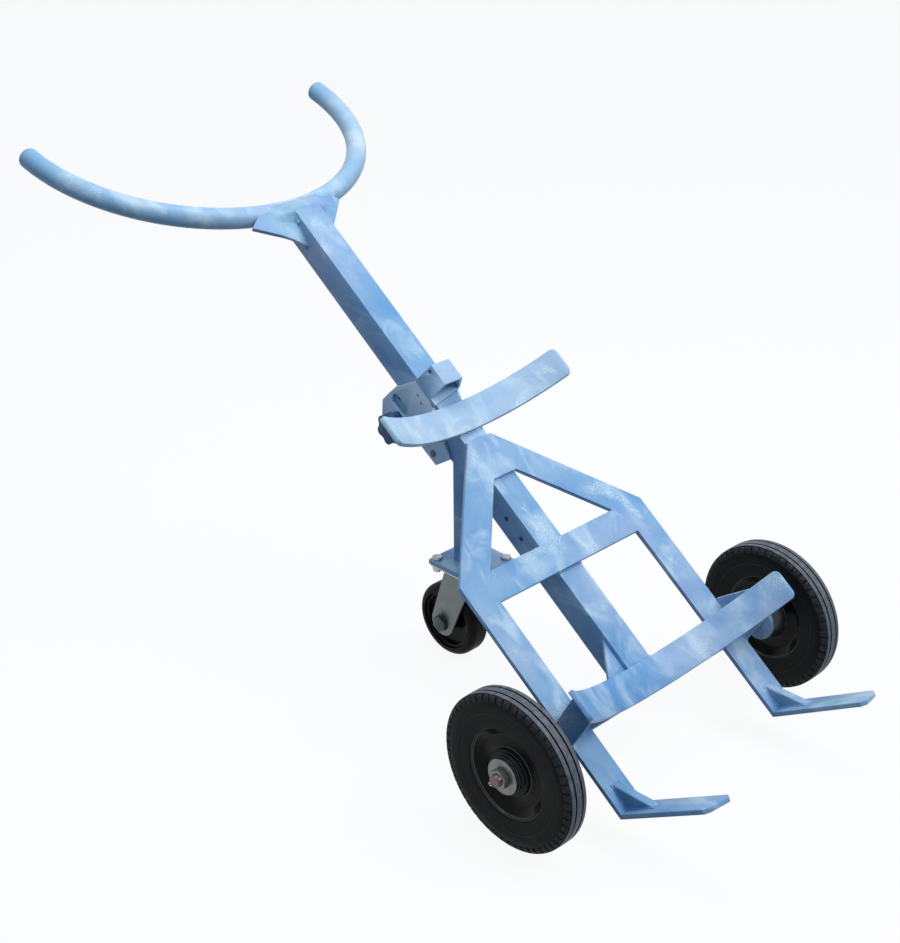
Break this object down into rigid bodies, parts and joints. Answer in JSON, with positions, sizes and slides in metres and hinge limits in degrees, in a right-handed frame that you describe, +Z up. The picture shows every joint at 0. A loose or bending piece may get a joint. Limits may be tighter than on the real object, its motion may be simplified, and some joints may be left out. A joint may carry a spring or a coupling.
{
  "type": "drum trolley",
  "caption": "Three-wheeled drum trolley with a leaning flat-bar frame, curved cradles, lifting toes, a sliding rim clamp, a half-round handle and a rear swivel caster.",
  "frame": {"origin": "middle of the footprint on the floor", "axes": "+Z up, -Y towards the drum side, +X to the right seen from the drum side"},
  "size_m": [0.6826, 1.3878, 0.7951],
  "materials": {
    "blue_paint": "glossy light blue paint",
    "zinc_steel": "zinc plated",
    "dark_steel": "darkened steel",
    "black_plastic": "satin black",
    "black_rubber": "matt black",
    "bronze": "plain",
    "nylon": "natural"
  },
  "bodies": {
    "frame": {"mast": "blue_paint", "mast_plugs": "black_plastic", "mast_cap": "blue_paint", "crossbar": "blue_paint", "apex_plate": "blue_paint", "lower_cradle": "blue_paint", "upper_cradle": "blue_paint", "foot_gusset": "blue_paint", "handle": "blue_paint", "handle_caps": "blue_paint", "caster_post": "blue_paint", "mount_plate": "blue_paint", "axle": "blue_paint", "axle_washers": "zinc_steel", "axle_nuts": "zinc_steel", "split_pins": "zinc_steel", "caster_plate": "zinc_steel", "caster_bolts": "zinc_steel", "caster_nuts": "zinc_steel", "caster_race": "zinc_steel", "caster_kingpin": "zinc_steel", "leg_left": "blue_paint", "leg_right": "blue_paint", "toe_left": "blue_paint", "toe_right": "blue_paint", "toe_gusset_left": "blue_paint", "toe_gusset_right": "blue_paint", "diagonal_left": "blue_paint", "diagonal_right": "blue_paint", "side_plate_left": "blue_paint", "side_plate_right": "blue_paint", "handle_gusset_left": "blue_paint", "handle_gusset_right": "blue_paint", "axle_flange_left": "blue_paint", "axle_flange_right": "blue_paint"},
    "wheel_left": {"rim_left": "black_plastic", "tyre_left": "black_rubber", "bush_left": "bronze"},
    "wheel_right": {"rim_right": "black_plastic", "tyre_right": "black_rubber", "bush_right": "bronze"},
    "caster_swivel": {"caster_fork": "zinc_steel", "caster_axle_bolt": "dark_steel", "caster_axle_nut": "dark_steel"},
    "caster_wheel": {"caster_hub": "black_plastic", "caster_tyre": "black_rubber"},
    "clamp": {"clamp_cheek_left": "blue_paint", "clamp_cheek_right": "blue_paint", "clamp_beak": "blue_paint", "clamp_jaw": "blue_paint", "clamp_pads": "nylon", "clamp_bolt": "zinc_steel", "clamp_spacer": "zinc_steel"},
    "clamp_lock": {"clamp_screw": "zinc_steel", "clamp_knob": "black_plastic"}
  },
  "joints": [
    {"name": "wheel_left_spin", "type": "hinge", "parent": "frame", "child": "wheel_left", "pos_m": [-0.3, -0.41531, 0.125], "axis": [1, 0, 0], "continuous": true},
    {"name": "wheel_right_spin", "type": "hinge", "parent": "frame", "child": "wheel_right", "pos_m": [0.3, -0.41531, 0.125], "axis": [1, 0, 0], "continuous": true},
    {"name": "caster_swivel", "type": "hinge", "parent": "frame", "child": "caster_swivel", "pos_m": [0, -0.02731, 0.17], "axis": [0, 0, 1], "continuous": true},
    {"name": "caster_spin", "type": "hinge", "parent": "caster_swivel", "child": "caster_wheel", "pos_m": [0, 0.01569, 0.065], "axis": [1, 0, 0], "continuous": true},
    {"name": "clamp_slide", "type": "slide", "parent": "frame", "child": "clamp", "axis": [0, 0.8059, 0.592], "range_m": [0, 0.28]},
    {"name": "clamp_lock_turn", "type": "hinge", "parent": "clamp", "child": "clamp_lock", "pos_m": [0, 0.10925, 0.3999], "axis": [1, 0, 0], "continuous": true}
  ]
}
